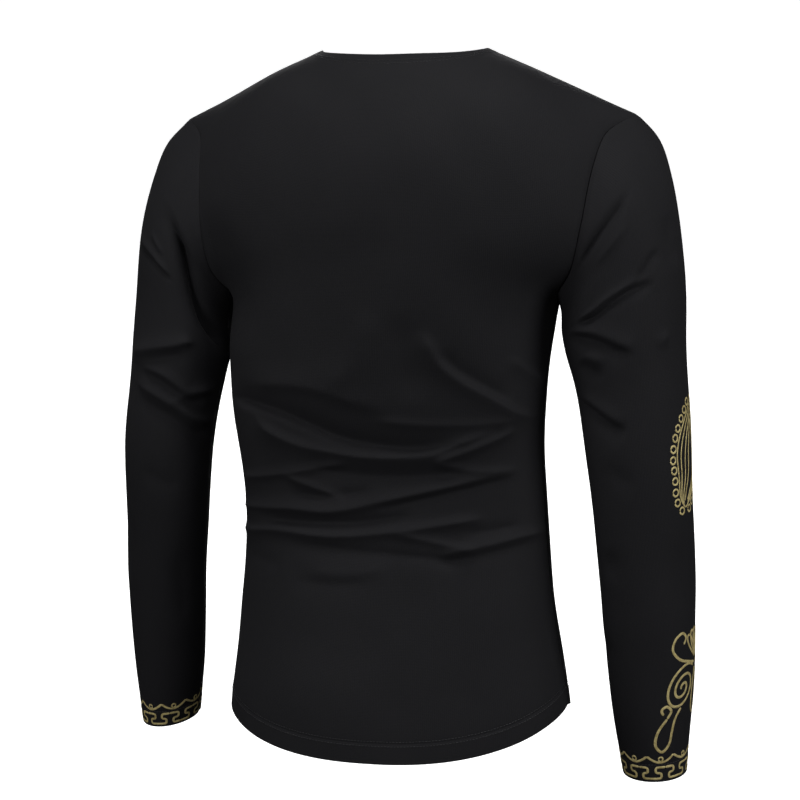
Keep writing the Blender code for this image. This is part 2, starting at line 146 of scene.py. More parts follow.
# z, lean of the body to its left, left shoulder's pull inward and forward
STANCE = (
    (-0.75, -0.003, 0.000, 0.000),
    (-0.60, -0.002, 0.000, 0.000),
    (-0.43, 0.001, 0.000, 0.000),
    (-0.36, 0.007, 0.001, 0.000),
    (-0.30, 0.009, 0.005, 0.002),
    (-0.22, 0.005, 0.010, 0.006),
    (-0.10, 0.000, 0.010, 0.008),
    (0.00, -0.003, 0.009, 0.006),
)

# height of a fold in mm (below zero a trough), its reach above and below in mm,
# and its (x, z) points on the panel in mm
BACK_FOLDS = (
    (3.8, 22, 8, ((140, -330), (100, -326), (60, -328), (20, -340), (-20, -352))),
    (-7.5, 14, 3.5, (
        (156, -342), (136, -346), (100, -354), (66, -367), (27, -381), (-38, -388), (-92, -378))),
    (5.6, 4, 13, (
        (128, -358), (108, -372), (84, -382), (60, -388), (0, -395), (-60, -389), (-90, -378),
        (-138, -363))),
    (4.6, 4, 12, (
        (-48, -270), (-58, -286), (-68, -304), (-92, -323), (-115, -337), (-133, -351), (-152, -360))),
    (-3.0, 9, 4, ((-66, -290), (-84, -310), (-108, -325), (-130, -341))),
    (1.8, 4, 5, ((0, -359), (-39, -362), (-91, -362), (-140, -358))),
    (2.4, 3.5, 7, ((-128, -296), (-145, -314), (-160, -332))),
    (2.8, 12, 12, ((-6, -250), (14, -298), (46, -334))),
    (-3.2, 20, 18, ((-26, -250), (-34, -300), (-42, -345))),
    (2.6, 3, 5, ((-55, -401), (-98, -384), (-136, -366))),
    (-2.2, 4, 3, ((-58, -394), (-96, -378), (-126, -366))),
    (-4.6, 11, 9, ((84, -403), (15, -414), (-50, -413), (-95, -407))),
    (3.8, 4, 5, ((152, -424), (122, -419), (87, -413), (56, -407), (24, -402))),
    (2.6, 3.5, 6, ((-55, -399), (-79, -404), (-104, -407), (-138, -407))),
    (3.4, 3.5, 5, ((96, -416), (62, -427), (30, -439))),
    (-3.4, 7, 5, ((92, -434), (60, -436), (29, -433), (2, -427))),
    (4.8, 7, 4.5, (
        (152, -452), (132, -451), (86, -449), (43, -450), (-12, -437), (-64, -424), (-138, -406))),
    (-2.4, 3, 5, ((4, -447), (-40, -437), (-80, -427), (-134, -413))),
    (-4.2, 6, 5, ((124, -462), (60, -462), (10, -459), (-40, -450))),
    (5.0, 4, 6, (
        (154, -476), (132, -474), (100, -471), (43, -474), (-22, -467), (-74, -458), (-110, -452))),
    (2.6, 4, 4, ((-14, -469), (-51, -475), (-79, -481), (-102, -485))),
    (3.6, 5, 4, ((-58, -491), (-90, -483), (-113, -478), (-136, -472), (-157, -469))),
    (-2.8, 5, 8, ((96, -483), (28, -487), (-13, -489), (-56, -492), (-90, -494))),
    (-1.6, 3, 6, ((-56, -499), (-90, -492), (-115, -486), (-150, -478))),
    (-1.8, 5, 6, ((-84, -468), (-110, -465), (-140, -460))),
    (1.8, 8, 8, ((72, -509), (25, -510), (-16, -502))),
    (-1.4, 7, 11, ((90, -519), (45, -521), (0, -517))),
    (-1.2, 9, 9, ((146, -497), (120, -503), (95, -505))),
    (-5.0, 26, 30, ((172, -150), (158, -200), (146, -245), (138, -300))),
    (-1.8, 22, 22, ((-165, -205), (-140, -250), (-118, -292))),
    (-1.0, 20, 26, ((-60, -600), (-95, -625), (-130, -640))),
    (1.0, 22, 24, ((40, -590), (70, -625), (85, -668))),
    (-1.0, 24, 20, ((5, -560), (-20, -610), (-28, -660))),
    (1.2, 26, 24, ((60, -95), (40, -150), (35, -215))),
    (-1.0, 24, 24, ((-20, -110), (-35, -170), (-30, -235))),
)
FRONT_FOLDS = (
    (-3.5, 9, 12, ((148, -188), (115, -214), (70, -236), (40, -243))),
    (2.2, 9, 8, ((140, -212), (105, -233), (72, -248))),
    (-3.0, 8, 12, ((-148, -185), (-112, -216), (-66, -240), (-40, -246))),
    (2.0, 8, 8, ((-142, -208), (-110, -232), (-80, -246))),
    (-1.8, 14, 16, ((120, -70), (92, -112), (70, -150))),
    (-1.6, 14, 16, ((-118, -72), (-90, -116), (-66, -150))),
    (-3.6, 7, 12, ((-144, -370), (-105, -384), (-60, -393), (10, -398))),
    (3.0, 8, 8, ((-140, -388), (-90, -402), (-30, -410), (30, -406))),
    (3.0, 9, 7, ((146, -392), (100, -402), (55, -410), (-10, -418))),
    (-3.6, 6, 9, ((142, -420), (95, -434), (40, -441), (-25, -438))),
    (2.6, 7, 6, ((-146, -425), (-110, -434), (-65, -440))),
    (3.4, 8, 6, ((-148, -448), (-80, -460), (-10, -464), (60, -459), (112, -450))),
    (-3.2, 5, 9, ((-142, -478), (-90, -488), (-30, -490), (25, -484))),
    (2.4, 7, 6, ((146, -468), (110, -476), (60, -484))),
    (-2.4, 6, 9, ((140, -486), (95, -497), (50, -503))),
    (1.6, 9, 9, ((-100, -510), (-50, -516), (0, -512))),
    (-1.4, 22, 24, ((70, -575), (95, -615), (112, -655))),
    (1.2, 24, 24, ((-45, -580), (-60, -620), (-64, -665))),
    (-1.0, 24, 20, ((10, -560), (18, -610), (14, -660))),
)

# height of a fold in mm, its reach towards the armhole and the cuff in mm,
# and its points: mm from the armhole, degrees round the arm
RIGHT_FOLDS = (
    (-5.0, 6, 8, ((78, 55), (69, 65), (60, 77), (53, 85), (45, 96), (36, 107), (20, 122))),
    (2.6, 12, 14, ((112, 62), (98, 84), (102, 104))),
    (-2.4, 5, 6, ((160, 42), (166, 50), (174, 58), (182, 70))),
    (2.6, 8, 4, ((180, 62), (179, 79), (178, 98), (184, 114), (180, 130))),
    (-4.6, 4, 8, ((196, 48), (191, 64), (188, 79), (191, 99), (195, 114), (190, 132))),
    (3.6, 9, 3, ((196, 142), (218, 115), (233, 101), (246, 86), (256, 70))),
    (-5.6, 4, 9, ((205, 145), (228, 116), (240, 101), (249, 90), (258, 74))),
    (3.0, 7, 8, ((241, 126), (252, 117), (263, 104))),
    (-3.4, 6, 9, ((252, 134), (266, 121), (279, 108))),
    (2.0, 6, 5, ((258, 48), (250, 40), (244, 32))),
    (3.2, 8, 3, ((294, 143), (302, 128), (311, 115), (319, 102), (327, 88))),
    (-4.8, 4, 10, ((301, 143), (311, 126), (318, 113), (326, 98), (332, 84))),
    (-2.4, 12, 12, ((436, 122), (452, 120), (470, 124))),
    (-2.4, 12, 12, ((516, 142), (534, 144), (552, 146))),
    (-1.6, 10, 12, ((356, 118), (372, 96), (380, 76))),
    (-4.0, 6, 9, ((298, 236), (312, 266), (318, 292), (310, 326))),
    (3.0, 7, 7, ((322, 246), (334, 276), (336, 306))),
    (-3.6, 6, 9, ((334, 238), (350, 278), (346, 318))),
    (-2.4, 7, 9, ((366, 232), (376, 262), (374, 292))),
    (-3.0, 7, 10, ((196, 232), (214, 262), (210, 300))),
    (2.2, 8, 8, ((176, 236), (192, 268), (192, 296))),
    (-2.0, 10, 12, ((60, 262), (84, 276), (112, 290))),
    (-1.6, 10, 12, ((130, 20), (160, 26), (190, 14))),
    (-1.5, 8, 10, ((566, 206), (576, 246), (570, 290))),
    (-1.2, 14, 14, ((430, 24), (470, 30), (505, 18))),
)
LEFT_FOLDS = (
    (-7.5, 24, 18, ((66, 68), (84, 86), (104, 101), (135, 116), (180, 132), (216, 150), (254, 172))),
    (-8.5, 10, 8, ((76, 78), (90, 90), (106, 102), (136, 117), (181, 133), (217, 151), (256, 172))),
    (2.6, 5, 5, ((160, 26), (156, 56), (157, 72), (159, 88))),
    (-1.8, 4, 4, ((170, 30), (166, 58), (166, 74), (168, 90))),
    (1.6, 4, 4, ((134, 52), (137, 64), (142, 76))),
    (5.0, 8, 4, ((272, 26), (264, 58), (252, 91), (246, 102), (238, 118))),
    (-2.4, 5, 9, ((282, 30), (275, 60), (264, 90), (258, 112))),
    (4.4, 7, 4, ((277, 34), (282, 79), (293, 103), (300, 118), (299, 133), (297, 168))),
    (-2.6, 4, 6, ((284, 50), (290, 80), (300, 102), (308, 120), (308, 150))),
    (1.8, 4, 4, ((299, 117), (305, 109), (310, 92))),
    (4.6, 7, 4, ((292, 40), (305, 82), (317, 112), (326, 133), (332, 178))),
    (-3.6, 4, 9, ((306, 50), (316, 75), (322, 94), (330, 113), (338, 142), (342, 170))),
    (-1.6, 10, 12, ((372, 62), (384, 92), (388, 124))),
    (-4.0, 6, 9, ((298, 232), (310, 264), (314, 290), (306, 326))),
    (3.0, 7, 7, ((320, 244), (330, 276), (332, 304))),
    (-3.4, 6, 9, ((338, 236), (350, 274), (346, 314))),
    (-2.8, 7, 10, ((192, 236), (208, 266), (202, 302))),
    (2.0, 8, 8, ((172, 238), (188, 268), (186, 298))),
    (-2.2, 10, 12, ((62, 260), (86, 274), (110, 290))),
    (-1.5, 8, 10, ((560, 196), (572, 240), (566, 284))),
    (-1.3, 14, 14, ((420, 30), (460, 40), (500, 26))),
    (-1.6, 12, 12, ((452, 118), (500, 126), (540, 132))),
)
FOLD_POINTS = 25
FOLD_FADE = 0.13
FOLD_FADE_BY_REACH = 0.6
FOLD_END = 0.03
FOLD_CREST = 1.4
FOLD_CREST_BY_REACH = 0.3
FOLD_SIDE_BLEND = 4
CHEST_EASE = 0.045
CHEST_EASE_PACE = 0.5
CHEST_EASE_STEPS = 120
SEAM_FLAT = 0.002
SEAM_CALM = 0.007
NECK_CALM = 0.03
SEAM_DIP = 0.0009
SEAM_DIP_REACH = 0.0028
SOFTER_LEFT = 0.6
SOFTER_LEFT_WIDTH = 0.15
SOFTER_LEFT_FOOT = -0.26
SOFTER_LEFT_BLEND = 0.03
STITCH_DIP = 0.00035
STITCH_DIP_REACH = 0.0014
RIPPLE = 0.00035
RIPPLE_CALM = 0.02

# distances in mm from a hem where the cloth's grid gets a row of its own
HEM_STEPS = (0, 0.8, 2, 4, 7, 10, 13, 16, 17.5, 18.6, 19.5, 20.4, 21.5, 23, 26)
SEAM_STEPS = (1, 2.2, 3.8, 6)
LOW_ROWS = 22
WAIST_ROWS = 142
CHEST_ROWS = 9
WAIST_SPAN = (0.28, 0.92)
ARMHOLE_ROWS = 28
SHOULDER_ROWS = 46
NECK_COLUMNS = 64
SIDE_COLUMNS = 44
SIDE_END = 0.968
SHOULDER_END = 0.957
ON_EDGE = 1e-6
UPPER_SLEEVE_ROWS = 150
LOWER_SLEEVE_ROWS = 42
ELBOW = 0.60
BODY_LENGTH = 0.445
SHOULDER_ARC = 0.20
HALF_GIRTH = 0.27

STITCH_PITCH = 0.0032
STITCH_LENGTH = 0.0025
STITCH_WIDTH = 0.00055
STITCH_HEIGHT = 0.00025
STITCH_LIFT = 0.6
STITCH_SIDES = 5
# share of a stitch's length, and of its width there
STITCH_RINGS = ((-0.5, 0.25), (-0.3, 1.0), (0.3, 1.0), (0.5, 0.25))
TWIN_NEEDLE_GAP = 0.0045

PRINT_LIFT = 0.00022
PRINT_STEP = 0.0009
# share of a printed line's half width, and of its lift there
PRINT_SECTION = ((-1, 0.2), (-0.7, 1), (0.7, 1), (1, 0.2))
LEAF_LINE = 0.0017
SCROLL_LINE = 0.0027
BORDER_LINE = 0.0023

# the print is drawn in mm: across from the sleeve's outer line towards the back,
# and along from the armhole, or up from the edge of the cuff for its border
LEFT_PRINT_FORWARD = 30
LEFT_PRINT_TURN = 0.045
LEFT_PRINT_PIVOT = 358
LEAF_MIDDLE = 357.0
LEAF_HEIGHT = 94.0
LEAF_HALF_WIDTH = 26.5
LEAF_ECHOES = (1.0, 0.79, 0.53, 0.26)
LEAF_RING_RADIUS = 3.2
LEAF_RING_OFFSET = 5.4
LEAF_RING_PITCH = 9.8
SPIRAL_MIDDLE = (21, 571)
SPIRAL_RADIUS = (1.2, 16.0)
SPIRAL_TURNS = 2.5
SCROLL_HOOK = ((2, 551), (13, 548), (26, 543), (34, 533), (31, 523), (23, 519), (18, 524), (21, 530))
SCROLL_TAIL = ((22, 590), (28, 599), (31, 611), (33, 623), (40, 630), (47, 622), (45, 609), (37, 598))
SCROLL_CURL = ((37, 598), (33, 591), (38, 586), (43, 589), (41, 594))
PETAL_LEANS = (-32, -16, 0, 16, 32)
BORDER_UNITS = 8
BORDER_PITCH = 25.5
BORDER_TURNS = (8.5, 18, 18, 12.5, 12.5, 30.5, 30.5, 25.5, 25.5, 34)
BORDER_LEVELS = (3.6, 9.6, 15.6)
BORDER_CORNER = 2.6
SCALLOP_LEVEL = 20.6
SCALLOP_RISE = 7.0
BORDER_RING = (2.0, 2.3)
BORDER_RING_LEVEL = 24.2

BLACK = (0.0085, 0.0085, 0.0100)
FADED_BLACK = (0.0125, 0.0122, 0.0140)
GOLD = (0.670, 0.560, 0.255)
DEEP_GOLD = (0.350, 0.270, 0.098)
THREAD_SHINE = (0.020, 0.020, 0.023)
FLOOR_COLOURS = ((0.90, 0.90, 0.90), (0.94, 0.94, 0.94))

CAMERA_AZIMUTH = 195.0
CAMERA_ELEVATION = 5.0
CAMERA_DISTANCE = 2.4
CAMERA_TARGET = (0.0, 0.0, -0.348)
CAMERA_LENS = 108.0

FLOOR_HEIGHT = -0.95
FLOOR_NEAR = -3.6
FLOOR_FAR = 2.6
FLOOR_HALF_WIDTH = 6.0
BACKDROP_SWEEP = 1.2
BACKDROP_TOP = 5.0

# name, place, size and watts of each soft light
LIGHTS = (
    ("key", (-1.6, 2.6, 2.6), 1.2, 14.0),
    ("top", (0.0, 0.9, 3.4), 1.6, 84.0),
    ("camera_side", (-1.0, 3.2, 0.1), 2.0, 14.0),
    ("left_side", (2.6, 1.8, 0.4), 1.5, 15.0),
    ("right_side", (-2.9, 0.8, 0.3), 1.5, 38.0),
    ("low_side", (1.4, 2.6, -0.35), 0.9, 19.0),
    ("front", (0.8, -3.2, 0.8), 2.0, 62.0),
)


def unit(vectors):
    return vectors / np.linalg.norm(vectors, axis=-1, keepdims=True)


def soft(share):
    """Ease from 0 to 1 with level ends."""
    share = np.clip(share, 0, 1)
    return share * share * (3 - 2 * share)


def smooth_through(rows, at):
    """Values of a table at the given keys, along a smooth curve through its rows."""
    rows = np.asarray(rows, float)
    keys, values = rows[:, 0], rows[:, 1:]
    at = np.asarray(at, float)
    slopes = np.gradient(values, keys, axis=0)
    low = np.clip(np.searchsorted(keys, at, side="right") - 1, 0, len(keys) - 2)
    step = (keys[low + 1] - keys[low])[..., None]
    t = (at - keys[low])[..., None] / step
    return (
        values[low] * (1 + 2 * t) * (1 - t) ** 2
        + slopes[low] * step * t * (1 - t) ** 2
        + values[low + 1] * t**2 * (3 - 2 * t)
        + slopes[low + 1] * step * t**2 * (t - 1)
    )


def lengths(points, axis=0):
    """Distance covered at each point of a line or grid, from its start along an axis."""
    steps = np.diff(points, axis=axis, prepend=np.take(points, [0], axis))
    return np.cumsum(np.linalg.norm(steps, axis=-1), axis=axis)


def smooth_line(points, count):
    """Evenly keyed smooth curve through a few points."""
    points = np.asarray(points, float)
    keys = np.linspace(0, 1, len(points))
    return smooth_through(np.column_stack([keys, points]), np.linspace(0, 1, count))


def armhole(angle):
    """Points of the left armhole's loop."""
    rows = np.asarray(ARMHOLE, float)
    turn = np.array([360, 0, 0, 0])
    loop = np.concatenate([rows[-2:] - turn, rows, rows[:3] + turn])
    return smooth_through(loop, np.mod(angle, 360))


def torso_sizes(z, is_back):
    """Half width, a panel's depth, the side seam's y and the panel's squareness at each height."""
    sizes = smooth_through(TORSO, np.clip(z, TORSO[0][0], TORSO[-1][0]))
    width, back, front, side_y, squareness = np.moveaxis(sizes, -1, 0)
    return (width, back, side_y, squareness) if is_back else (width, front, side_y, FRONT_SQUARENESS)


def stance(points):
    """Move points of the even shirt to where the wearer's own posture holds them."""
    height = np.clip(points[..., 2], STANCE[0][0], STANCE[-1][0])
    lean, inward, forward = np.moveaxis(smooth_through(STANCE, height), -1, 0)
    body = 1 - soft((np.abs(points[..., 0]) - BODY_EDGE) / BODY_EDGE_BLEND)
    left = np.clip(points[..., 0] / LEFT_PULL_REACH, 0, 1)
    return points + np.stack([lean * body - inward * left, -forward * left, 0 * height], -1)


def top_edge(across, is_back):
    """Shoulder seams and neckline, from the right shoulder tip to the left one."""
    neck = np.array(NECK_POINT)
    along = np.clip((np.abs(across) - NECK_SHARE) / (1 - NECK_SHARE), 0, 1)
    shoulder = neck + (armhole(0) - neck) * along[..., None]
    turn = np.clip(np.abs(across) / NECK_SHARE, 0, 1) * math.pi / 2
    y, z = BACK_NECK if is_back else FRONT_NECK
    sag = np.cos(turn)
    neckline = np.stack([neck[0] * np.sin(turn), neck[1] + y * sag, neck[2] + z * sag], -1)
    edge = np.where((np.abs(across) >= NECK_SHARE)[..., None], shoulder, neckline)
    edge[..., 0] *= np.sign(across)
    return edge


def section_row(across, z, edge_x, edge_y, depth, side_y, squareness, outward):
    """Part of a rounded cross-section, from one edge of the panel to the other."""
    lean = np.clip((edge_y - side_y) * outward / depth, 0, 1)
    last = np.arccos(lean ** (squareness / 2))
    width = edge_x / np.sin(last) ** (2 / squareness)
    turn = np.abs(across) * last
    x = width * np.sin(turn) ** (2 / squareness) * np.sign(across)
    y = side_y + outward * depth * np.cos(turn) ** (2 / squareness)
    return np.stack([x, y, z], -1)


def panel(is_back, across, body_shares, armhole_shares, shoulder_shares):
    """Grid of points of the front or back: rows from the hem up, columns from right to left."""
    outward = 1 if is_back else -1
    turn_to_top = 90 * outward
    under = armhole(180)
    rows = []
    hem_middle = HEM_BACK if is_back else HEM_FRONT
    curve = np.cos(across * math.pi / 2) ** HEM_ROUNDNESS
    hem = HEM_SIDE + (hem_middle - HEM_SIDE) * curve - HEM_TILT * across
    for share in body_shares:
        z = hem + (under[2] - hem) * share
        width, depth, side_y, square = torso_sizes(z, is_back)
        rows.append(section_row(across, z, width, side_y, depth, side_y, square, outward))
    widest = armhole(turn_to_top)[2]
    for share in armhole_shares:
        edge = armhole(180 - share * turn_to_top)
        middle_z = under[2] + (widest - under[2]) * share
        z = edge[2] + (middle_z - edge[2]) * (1 - across**2)
        _, depth, side_y, square = torso_sizes(middle_z, is_back)
        rows.append(section_row(across, z, edge[0], edge[1], depth, side_y, square, outward))
    start = rows[-1]
    edge = top_edge(across, is_back)
    reach = NECK_BLEND * (1 - across**2)
    calm = top_edge(across, is_back) / 3
    for shift, weight in ((-1, 1), (-0.5, 2), (0.5, 2), (1, 1)):
        calm = calm + top_edge(across + shift * reach, is_back) * weight / 9
    low = math.radians(BACK_NECK_TURN if is_back else FRONT_NECK_TURN)
    turn = low + (math.pi / 2 - low) * soft(np.abs(across) / (NECK_SHARE + 0.2))
    depth = (start[:, 1] - calm[:, 1]) / (1 - np.cos(turn)) ** UPPER_BACK_FLATNESS
    height = (calm[:, 2] - start[:, 2]) / np.sin(turn)
    for share in shoulder_shares:
        x = start[:, 0] + (calm[:, 0] - start[:, 0]) * share**SHOULDER_TAPER
        y = start[:, 1] - depth * (1 - np.cos(turn * share)) ** UPPER_BACK_FLATNESS
        z = start[:, 2] + height * np.sin(turn * share)
        row = np.stack([x, y, z], -1) + share**4 * (edge - calm)
        seam = armhole(turn_to_top * (1 - share))
        for column, side in ((0, -1), (-1, 1)):
            miss = seam * (side, 1, 1) - row[column]
            near = np.where(np.sign(across) == side, np.abs(across) ** SEAM_PULL, 0)
            row = row + near[:, None] * miss
        rows.append(row)
    return stance(np.array(rows))


def sleeve_ring(share, is_left):
    """Middle, half-width vector and half-depth vector of the sleeve's ring."""
    outer_x, outer_z, inner_x, inner_z, y, half_depth, skew = smooth_through(SLEEVE, share)
    out, back, up, tilt, wider = smooth_through(LEFT_POSE, share) * is_left
    inner_x = inner_x - wider
    middle = np.array([(outer_x + inner_x) / 2 + out, y + back, (outer_z + inner_z) / 2 + up])
    half_width = np.array([(outer_x - inner_x) / 2, skew, (outer_z - inner_z) / 2 - tilt])
    return middle, half_width, np.array([skew, half_depth, 0])


def sleeve(angles, shares, is_left):
    """Grid of points of a sleeve: rows from the armhole to the cuff, columns round the arm."""
    turn = np.radians(angles)[:, None]
    rows = []
    for share in shares:
        middle, half_width, half_depth = sleeve_ring(share, is_left)
        after, *_ = sleeve_ring(min(share + RING_STEP, 1), is_left)
        before, *_ = sleeve_ring(max(share - RING_STEP, 0), is_left)
        along = after - before
        leaning = np.clip((share - RING_LEAN_START) / RING_LEAN_BLEND, 0, 1)
        lean = (0, 0, -(half_depth @ along) / along[2] * leaning)
        rows.append(middle + np.cos(turn) * half_width + np.sin(turn) * (half_depth + lean))
    rows = np.array(rows)
    miss = armhole(angles) - rows[0]
    near = np.clip(1 - np.asarray(shares) / ARMHOLE_REACH, 0, 1) ** 2
    rows = rows + near[:, None, None] * miss
    if not is_left:
        rows = rows * (-1, 1, 1)
    return stance(rows)


def outward_normals(points, sign, is_round):
    """Normals of a grid of points, pointing out of the garment."""
    if is_round:
        across = np.roll(points, -1, 1) - np.roll(points, 1, 1)
    else:
        across = np.gradient(points, axis=1)
    return sign * unit(np.cross(across, np.gradient(points, axis=0)))


def eased_chest(points, across, body_rows):
    """Smooth the panel's surface up and down across the height of the underarm."""
    height = points[:, len(across) // 2, 2]
    near = np.exp(-(((height - height[body_rows]) / CHEST_EASE) ** 2))
    weight = near[1:-1, None] * (1 - across**8)
    for _ in range(CHEST_EASE_STEPS):
        middle = (points[:-2] + points[2:]) / 2
        points[1:-1] += CHEST_EASE_PACE * weight[..., None] * (middle - points[1:-1])
    return points


def fold_height(places, folds):
    """Sum of the folds in metres at each place, given in mm across and up."""
    flat = places.reshape(-1, 2)
    pick = np.arange(len(flat))
    total = np.zeros(len(flat))
    for height, above, below, line in folds:
        dense = smooth_line(line, FOLD_POINTS)
        step = np.diff(dense, axis=0)
        away = flat[:, None] - dense[:-1]
        t = np.clip((away * step).sum(-1) / (step * step).sum(-1), 0, 1)
        gap = away - t[..., None] * step
        distance = np.linalg.norm(gap, axis=-1)
        nearest = distance.argmin(1)
        along = (nearest + t[pick, nearest]) / len(step)
        rise = np.abs(step[nearest, 0]) * gap[pick, nearest, 1]
        slant = step[nearest, 1] * np.sign(step[nearest, 0]) * gap[pick, nearest, 0]
        side = soft(0.5 + (rise - slant) / np.linalg.norm(step[nearest], axis=1) / FOLD_SIDE_BLEND)
        reach = below + (above - below) * side
        fade = FOLD_FADE + FOLD_FADE_BY_REACH * (above + below) / np.linalg.norm(step, axis=1).sum()
        ends = soft(np.minimum(along, 1 - along) / min(fade, 0.5) + FOLD_END)
        crest = max(FOLD_CREST, FOLD_CREST_BY_REACH * min(above, below))
        far = np.sqrt(distance[pick, nearest] ** 2 + crest**2) - crest
        total += height * ends * np.exp(-far / reach - (far / reach) ** 2 / 3)
    return total.reshape(places.shape[:-1]) / MM


def ripple(points):
    """Slight unevenness of hanging cloth, from waves whose lengths never line up."""
    x, y, z = np.moveaxis(points, -1, 0)
    wave = np.sin(31 * x + 17 * z + 2.1 * np.sin(23 * z + 9 * y))
    wave += 0.7 * np.sin(53 * z - 29 * y + 1.7 * np.sin(37 * x))
    wave += 0.5 * np.sin(71 * x + 64 * y - 47 * z)
    return RIPPLE * wave


def distance_to(points, lines):
    """Distance of each grid point from the nearest point of some edges."""
    edges = np.concatenate(lines)
    flat = points.reshape(-1, 3)
    near = [np.sqrt(((edges - point) ** 2).sum(1).min()) for point in flat]
    return np.array(near).reshape(points.shape[:-1])


def dip(distance, depth, reach):
    """Rounded hollow along a line."""
    return -depth * np.exp(-((distance / reach) ** 2))


def seam_hollow(points, distance):
    """Hollow along the seams, softer round the left armhole, where the photo hardly shows it."""
    left = soft(points[..., 0] / SOFTER_LEFT_WIDTH)
    high = soft((points[..., 2] - SOFTER_LEFT_FOOT) / SOFTER_LEFT_BLEND)
    return dip(distance, SEAM_DIP, SEAM_DIP_REACH) * (1 - SOFTER_LEFT * left * high)


def hem_relief(distance, hem_depth):
    """Second layer of a turned hem, with the hollow that its stitches pull."""
    layer = HEM_LAYER * soft((hem_depth - distance) / HEM_STEP + 0.5)
    return layer + dip(distance - hem_depth, STITCH_DIP, STITCH_DIP_REACH)


def panel_shares():
    """Where the panels' grid has its columns and rows."""
    middle = np.linspace(-NECK_SHARE, NECK_SHARE, NECK_COLUMNS + 1)
    steps = 1 - np.array(SEAM_STEPS[::-1]) / MM / HALF_GIRTH
    side = np.linspace(NECK_SHARE, SIDE_END, SIDE_COLUMNS)[1:]
    side = np.concatenate([side, steps, [1]])
    across = np.concatenate([-side[::-1], middle, side])
    hem = np.array(HEM_STEPS) / MM / BODY_LENGTH
    low = np.linspace(hem[-1], WAIST_SPAN[0], LOW_ROWS)[1:]
    waist = np.linspace(*WAIST_SPAN, WAIST_ROWS)[1:]
    chest = np.linspace(WAIST_SPAN[1], 1, CHEST_ROWS)[1:]
    body = np.concatenate([hem, low, waist, chest])
    at_armhole = np.linspace(0, 1, ARMHOLE_ROWS + 1)[1:]
    steps = 1 - np.array(SEAM_STEPS[::-1]) / MM / SHOULDER_ARC
    at_shoulder = np.concatenate([np.linspace(0, SHOULDER_END, SHOULDER_ROWS)[1:], steps, [1]])
    return across, body, at_armhole, at_shoulder


def seam_angles(at_armhole, at_shoulder):
    """Angles round the armhole of a panel's rows, from the underarm to the shoulder tip."""
    return np.concatenate([180 - 90 * at_armhole, 90 * (1 - at_shoulder)])


def folded_panel(is_back):
    """Outer skin of a panel with its folds, its columns and rows, and distance from its hems."""
    across, body, at_armhole, at_shoulder = panel_shares()
    points = panel(is_back, across, body, at_armhole, at_shoulder)
    points = eased_chest(points, across, len(body) - 1)
    sign = -1 if is_back else 1
    on_shoulder = np.abs(across) >= NECK_SHARE - ON_EDGE
    seams = distance_to(points, [points[:, 0], points[:, -1], points[-1, on_shoulder]])
    neck = distance_to(points, [points[-1, ~on_shoulder]])
    hem = lengths(points)
    calm = soft((seams - SEAM_FLAT) / SEAM_CALM / 2) * soft(neck / NECK_CALM)
    height = fold_height(points[..., [0, 2]] * MM, BACK_FOLDS if is_back else FRONT_FOLDS) * calm
    height += ripple(points) * soft(seams / RIPPLE_CALM) + seam_hollow(points, seams)
    height += hem_relief(hem, HEM_DEPTH) + hem_relief(neck, NECK_HEM_DEPTH)
    points = points + height[..., None] * outward_normals(points, sign, False)
    return points, across, (at_armhole, at_shoulder), np.minimum(hem, neck)


def sleeve_shares():
    """Where a sleeve's grid has its rows and columns."""
    _, _, at_armhole, at_shoulder = panel_shares()
    half = np.concatenate([[180], seam_angles(at_armhole, at_shoulder)])[::-1]
    angles = np.concatenate([half[:-1], 360 - half[:0:-1]])
    start = np.array((0, *SEAM_STEPS)) / MM / SLEEVE_LENGTH
    cuff = 1 - np.array(HEM_STEPS[::-1]) / MM / SLEEVE_LENGTH
    upper = np.linspace(start[-1], ELBOW, UPPER_SLEEVE_ROWS)[1:]
    lower = np.linspace(ELBOW, cuff[0], LOWER_SLEEVE_ROWS)[1:-1]
    shares = np.concatenate([start, upper, lower, cuff])
    return angles, shares


def folded_sleeve(is_left):
    """Outer skin of a sleeve with its folds, its columns and rows, and distance from its cuff."""
    angles, shares = sleeve_shares()
    points = sleeve(angles, shares, is_left)
    height = np.zeros(points.shape[:2])
    length, angle = np.meshgrid(shares * SLEEVE_LENGTH * MM, angles, indexing="ij")
    for *sizes, line in LEFT_FOLDS if is_left else RIGHT_FOLDS:
        middle = np.mean([place[1] for place in line])
        turn = np.radians((angle - middle + 180) % 360 - 180)
        places = np.stack([turn * SLEEVE_RADIUS * MM, -length], -1)
        flat = [(math.radians(degrees - middle) * SLEEVE_RADIUS * MM, -mm) for mm, degrees in line]
        height += fold_height(places, [(*sizes, flat)])
    seam = distance_to(points, [points[0]])
    height = height * soft(seam / SEAM_CALM / 2) + ripple(points) * soft(seam / RIPPLE_CALM)
    underarm = distance_to(points, [points[:, np.abs(angles - 180).argmin()]])
    height += seam_hollow(points, np.minimum(seam, underarm))
    to_cuff = lengths(points[::-1])[::-1]
    height += hem_relief(to_cuff, CUFF_HEM_DEPTH)
    points = points + height[..., None] * outward_normals(points, -1 if is_left else 1, True)
    return points, angles, shares, to_cuff


def armhole_inward(angles, sign):
    """Direction across the armhole seam's edge, towards the middle of its loop."""
    along = unit(armhole(angles + 2) - armhole(angles - 2))
    inward = np.array(ARMHOLE_MIDDLE) - armhole(angles)
    inward = inward - (inward * along).sum(-1, keepdims=True) * along
    return unit(inward) * (sign, 1, 1)


def shared_inward(own, angles, sign):
    """Blend a wall's own direction with the one that both walls share over the shoulder."""
    share = soft(1.5 * np.cos(np.radians(angles)))[..., None]
    return unit(share * armhole_inward(angles, sign) + (1 - share) * own)


def part_from_seam(edge, beside):
    """Move an edge back into its own cloth by half of the seam's gap."""
    return edge + unit(beside - edge) * SEAM_GAP / 2


